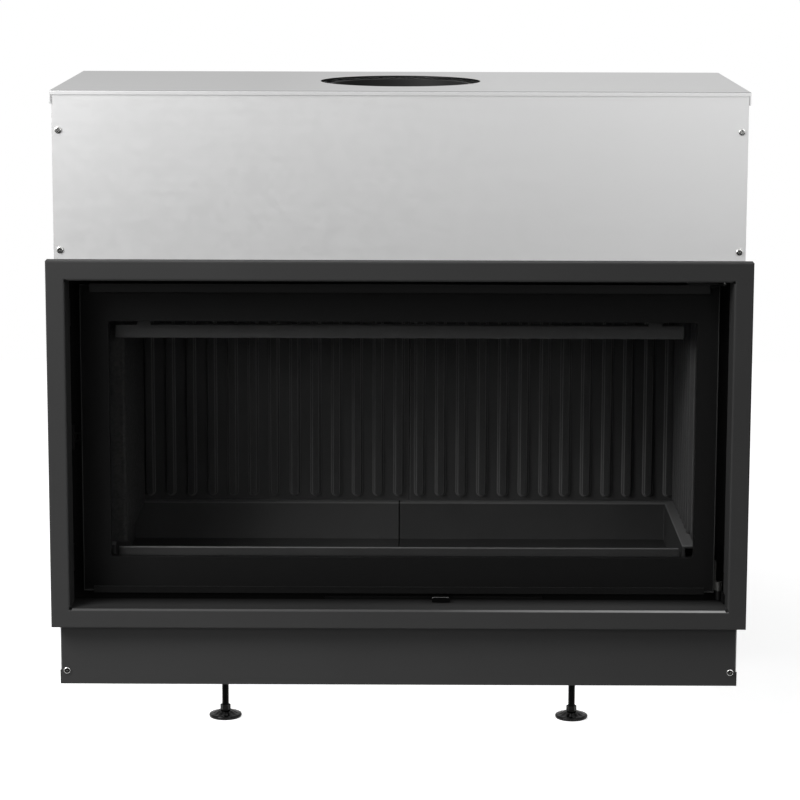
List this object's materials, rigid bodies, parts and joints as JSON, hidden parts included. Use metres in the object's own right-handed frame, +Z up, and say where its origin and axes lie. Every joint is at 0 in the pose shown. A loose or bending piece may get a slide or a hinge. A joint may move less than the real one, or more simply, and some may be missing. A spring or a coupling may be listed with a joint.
{
  "type": "fireplace insert",
  "caption": "Built-in fireplace insert with a folded frame, hinged glass door, ribbed firebox, galvanised casing with a round flue outlet, and levelling feet.",
  "frame": {"origin": "on the floor, under the middle of the insert's box", "axes": "+X to the right seen from the front, the front faces -Y, +Z up along the flue"},
  "size_m": [1, 0.444, 0.925],
  "materials": {
    "painted_steel": "satin",
    "galvanised_steel": "satin",
    "zinc_plated_steel": "bright",
    "black_steel": "matt",
    "bright_steel": "satin",
    "cast_iron": "matt",
    "refractory": "matt",
    "ceramic_glass": "gloss",
    "glass_rope": "matt",
    "moulded_plastic": "satin"
  },
  "bodies": {
    "insert": {"surround_frame": "painted_steel", "skirt_panel": "painted_steel", "casing_front_panel": "galvanised_steel", "casing_side_left": "galvanised_steel", "casing_side_right": "galvanised_steel", "casing_rear_panel": "galvanised_steel", "casing_top_lid": "galvanised_steel", "base_tray": "galvanised_steel", "casing_screws": "zinc_plated_steel", "skirt_screws": "zinc_plated_steel", "collar_bolts": "zinc_plated_steel", "foot_nuts": "zinc_plated_steel", "firebox_rail_left": "black_steel", "firebox_rail_right": "black_steel", "firebox_floor": "black_steel", "firebox_side_left": "black_steel", "firebox_side_right": "black_steel", "firebox_back": "black_steel", "firebox_top": "black_steel", "firebox_front_plate": "black_steel", "flue_collar": "black_steel", "air_wash_deflector": "black_steel", "frame_stays": "black_steel", "hinge_bracket_lower": "black_steel", "hinge_bracket_upper": "black_steel", "catch_housing": "black_steel", "hinge_pins": "bright_steel", "slider_pins": "bright_steel", "fireback_left": "cast_iron", "fireback_right": "cast_iron", "side_plate_right": "cast_iron", "hearth_tray_left": "cast_iron", "hearth_tray_right": "cast_iron", "log_retainer": "cast_iron", "side_slab_left": "refractory", "baffle_plate": "refractory"},
    "door": {"door_frame": "black_steel", "door_glass": "ceramic_glass", "glass_gasket": "glass_rope", "door_rope_seal": "glass_rope", "glass_strip_top": "black_steel", "glass_strip_bottom": "black_steel", "strip_screws": "bright_steel", "hinge_leaf_lower": "black_steel", "hinge_lug_upper": "black_steel", "catch_strike": "black_steel"},
    "catch_plunger": {"catch_plunger": "black_steel"},
    "catch_roller": {"catch_roller": "black_steel"},
    "air_slider": {"air_slider": "black_steel", "air_knob": "black_steel"},
    "foot_front_left": {"foot_pad_front_left": "moulded_plastic", "foot_rod_front_left": "black_steel"},
    "foot_front_right": {"foot_pad_front_right": "moulded_plastic", "foot_rod_front_right": "black_steel"},
    "foot_rear_left": {"foot_pad_rear_left": "moulded_plastic", "foot_rod_rear_left": "black_steel"},
    "foot_rear_right": {"foot_pad_rear_right": "moulded_plastic", "foot_rod_rear_right": "black_steel"}
  },
  "joints": [
    {"name": "door_swing", "type": "hinge", "parent": "insert", "child": "door", "pos_m": [0.466, -0.165, 0.2], "axis": [0, 0, 1], "range_deg": [0, 90]},
    {"name": "air_slide", "type": "slide", "parent": "insert", "child": "air_slider", "axis": [1, 0, 0], "range_m": [-0.132, 0]},
    {"name": "catch_press", "type": "slide", "parent": "insert", "child": "catch_plunger", "axis": [-1, 0, 0], "range_m": [0, 0.003], "stiffness_N_per_m": 900},
    {"name": "roller_turn", "type": "hinge", "parent": "catch_plunger", "child": "catch_roller", "pos_m": [-0.4633, -0.1465, 0.42], "axis": [0, 0, 1], "continuous": true},
    {"name": "foot_screw_front_left", "type": "slide", "parent": "insert", "child": "foot_front_left", "axis": [0, 0, 1], "range_m": [-0.03, 0.03]},
    {"name": "foot_screw_front_right", "type": "slide", "parent": "insert", "child": "foot_front_right", "axis": [0, 0, 1], "range_m": [-0.03, 0.03]},
    {"name": "foot_screw_rear_left", "type": "slide", "parent": "insert", "child": "foot_rear_left", "axis": [0, 0, 1], "range_m": [-0.03, 0.03]},
    {"name": "foot_screw_rear_right", "type": "slide", "parent": "insert", "child": "foot_rear_right", "axis": [0, 0, 1], "range_m": [-0.03, 0.03]}
  ]
}
